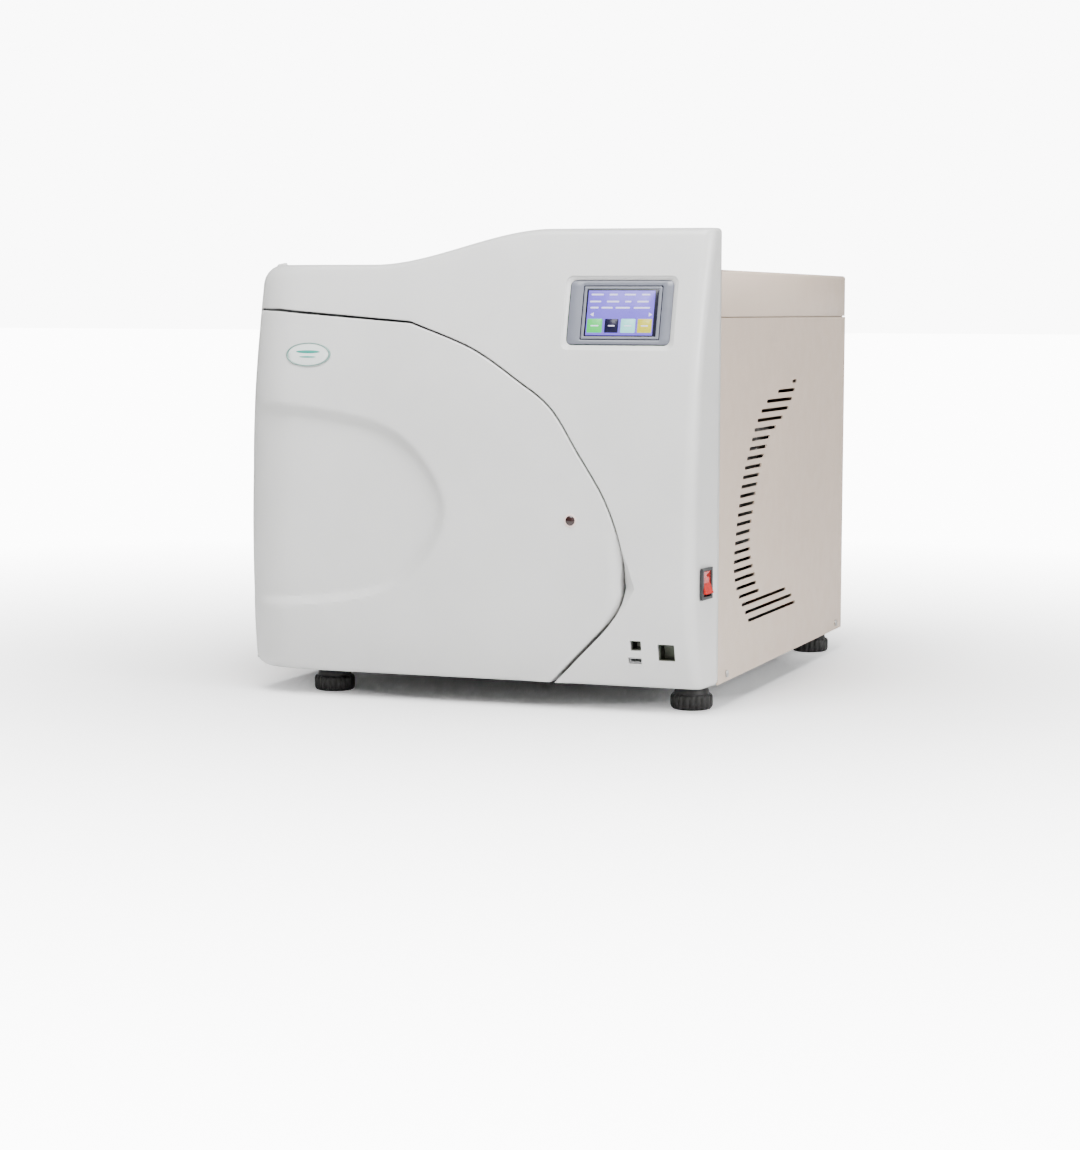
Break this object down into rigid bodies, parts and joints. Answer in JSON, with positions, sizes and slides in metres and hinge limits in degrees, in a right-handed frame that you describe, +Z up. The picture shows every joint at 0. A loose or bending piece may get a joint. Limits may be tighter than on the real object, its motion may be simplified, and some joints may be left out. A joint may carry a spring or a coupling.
{
  "type": "benchtop autoclave",
  "caption": "Benchtop steam steriliser with a side-hinged moulded door, round chamber with trays, colour touch screen, vented steel cabinet and levelling feet.",
  "frame": {"origin": "centre of the overall box, on the surface the feet stand on", "axes": "+X to the right seen from the front, +Y from the door towards the rear panel, +Z up"},
  "size_m": [0.485, 0.6022, 0.4605],
  "materials": {
    "fascia_plastic": "satin moulded, fine texture",
    "liner_plastic": "satin moulded",
    "lid_plastic": "satin moulded",
    "painted_panel": "fine textured powder coat",
    "galvanised_steel": "zinc plated",
    "stainless_steel": "brushed",
    "tray_steel": "polished",
    "hinge_steel": "blued machined steel",
    "screw_steel": "nickel plated",
    "socket_steel": "tinned",
    "silver_plastic": "silver metallic",
    "display_glass": "glossy touch screen",
    "circuit_board": "solder mask",
    "black_plastic": "satin",
    "heater_brass": "dull",
    "brass_fittings": "machined",
    "copper_pipe": "drawn copper",
    "cast_aluminium": "cast, satin",
    "insulation": "mineral wool felt",
    "tank_plastic": "translucent polyethylene",
    "silicone": "smooth silicone",
    "foot_rubber": "matt moulded",
    "badge_plastic": "domed lacquer with bright rim",
    "indicator_red": "glossy lens",
    "rocker_red": "translucent"
  },
  "bodies": {
    "chassis": {"base_pan": "galvanised_steel", "front_frame": "galvanised_steel", "chamber_cradle": "galvanised_steel", "tank_shelf": "galvanised_steel", "left_side_panel": "painted_panel", "right_side_panel": "painted_panel", "rear_panel": "painted_panel", "top_cover": "painted_panel", "front_fascia": "fascia_plastic", "display_panel": "silver_plastic", "display_screen": "display_glass", "control_board": "circuit_board", "switch_housing": "black_plastic", "usb_port": "socket_steel", "card_slot": "lid_plastic", "network_port": "socket_steel", "chamber_vessel": "stainless_steel", "chamber_flange": "stainless_steel", "heater_bands": "heater_brass", "insulation_jacket": "insulation", "steam_generator": "stainless_steel", "vacuum_pump": "cast_aluminium", "water_pump": "black_plastic", "clean_water_tank": "tank_plastic", "waste_water_tank": "tank_plastic", "condenser": "cast_aluminium", "fan_housing": "black_plastic", "valve_manifold": "brass_fittings", "pipework": "copper_pipe", "power_supply": "cast_aluminium", "safety_valve": "brass_fittings", "power_inlet": "black_plastic", "drain_couplings": "brass_fittings", "air_filter": "tank_plastic", "hinge_bracket": "hinge_steel", "lock_housing": "hinge_steel", "panel_screws": "screw_steel", "tray_rack": "stainless_steel", "filler_neck": "black_plastic", "hinge_pin": "hinge_steel"},
    "door": {"door_cover": "fascia_plastic", "door_liner": "liner_plastic", "door_plate": "stainless_steel", "door_gasket": "silicone", "hinge_arm": "hinge_steel", "plate_bolt": "screw_steel", "lock_striker": "hinge_steel", "door_badge": "badge_plastic", "door_indicator": "indicator_red"},
    "power_rocker": {"power_rocker": "rocker_red"},
    "lock_bolt": {"lock_bolt": "hinge_steel"},
    "tray_lower": {"tray_lower": "tray_steel"},
    "tray_middle": {"tray_middle": "tray_steel"},
    "tray_upper": {"tray_upper": "tray_steel"},
    "fan_rotor": {"fan_rotor": "black_plastic"},
    "foot_front_left": {"foot_front_left": "foot_rubber"},
    "foot_front_right": {"foot_front_right": "foot_rubber"},
    "foot_rear_left": {"foot_rear_left": "foot_rubber"},
    "foot_rear_right": {"foot_rear_right": "foot_rubber"},
    "filler_lid": {"filler_lid": "lid_plastic"}
  },
  "joints": [
    {"name": "door_swing", "type": "hinge", "parent": "chassis", "child": "door", "pos_m": [-0.222, -0.262, 0.2245], "axis": [0, 0, -1], "range_deg": [0, 105]},
    {"name": "power_switch", "type": "hinge", "parent": "chassis", "child": "power_rocker", "pos_m": [0.23434, -0.26809, 0.1265], "axis": [0.0733, 0.9973, 0], "range_deg": [0, 20]},
    {"name": "lock_throw", "type": "slide", "parent": "chassis", "child": "lock_bolt", "axis": [-1, 0, 0], "range_m": [0, 0.01]},
    {"name": "tray_lower_slide", "type": "slide", "parent": "chassis", "child": "tray_lower", "axis": [0, -1, 0], "range_m": [0, 0.07]},
    {"name": "tray_middle_slide", "type": "slide", "parent": "chassis", "child": "tray_middle", "axis": [0, -1, 0], "range_m": [0, 0.07]},
    {"name": "tray_upper_slide", "type": "slide", "parent": "chassis", "child": "tray_upper", "axis": [0, -1, 0], "range_m": [0, 0.07]},
    {"name": "fan_spin", "type": "hinge", "parent": "chassis", "child": "fan_rotor", "pos_m": [0.145, 0.268, 0.1745], "axis": [0, 1, 0], "continuous": true},
    {"name": "foot_front_left_level", "type": "slide", "parent": "chassis", "child": "foot_front_left", "axis": [0, 0, -1], "range_m": [0, 0.01]},
    {"name": "foot_front_right_level", "type": "slide", "parent": "chassis", "child": "foot_front_right", "axis": [0, 0, -1], "range_m": [0, 0.01]},
    {"name": "foot_rear_left_level", "type": "slide", "parent": "chassis", "child": "foot_rear_left", "axis": [0, 0, -1], "range_m": [0, 0.01]},
    {"name": "foot_rear_right_level", "type": "slide", "parent": "chassis", "child": "foot_rear_right", "axis": [0, 0, -1], "range_m": [0, 0.01]},
    {"name": "filler_lid_swing", "type": "hinge", "parent": "chassis", "child": "filler_lid", "pos_m": [-0.12, -0.106, 0.4265], "axis": [-1, 0, 0], "range_deg": [0, 110]}
  ]
}
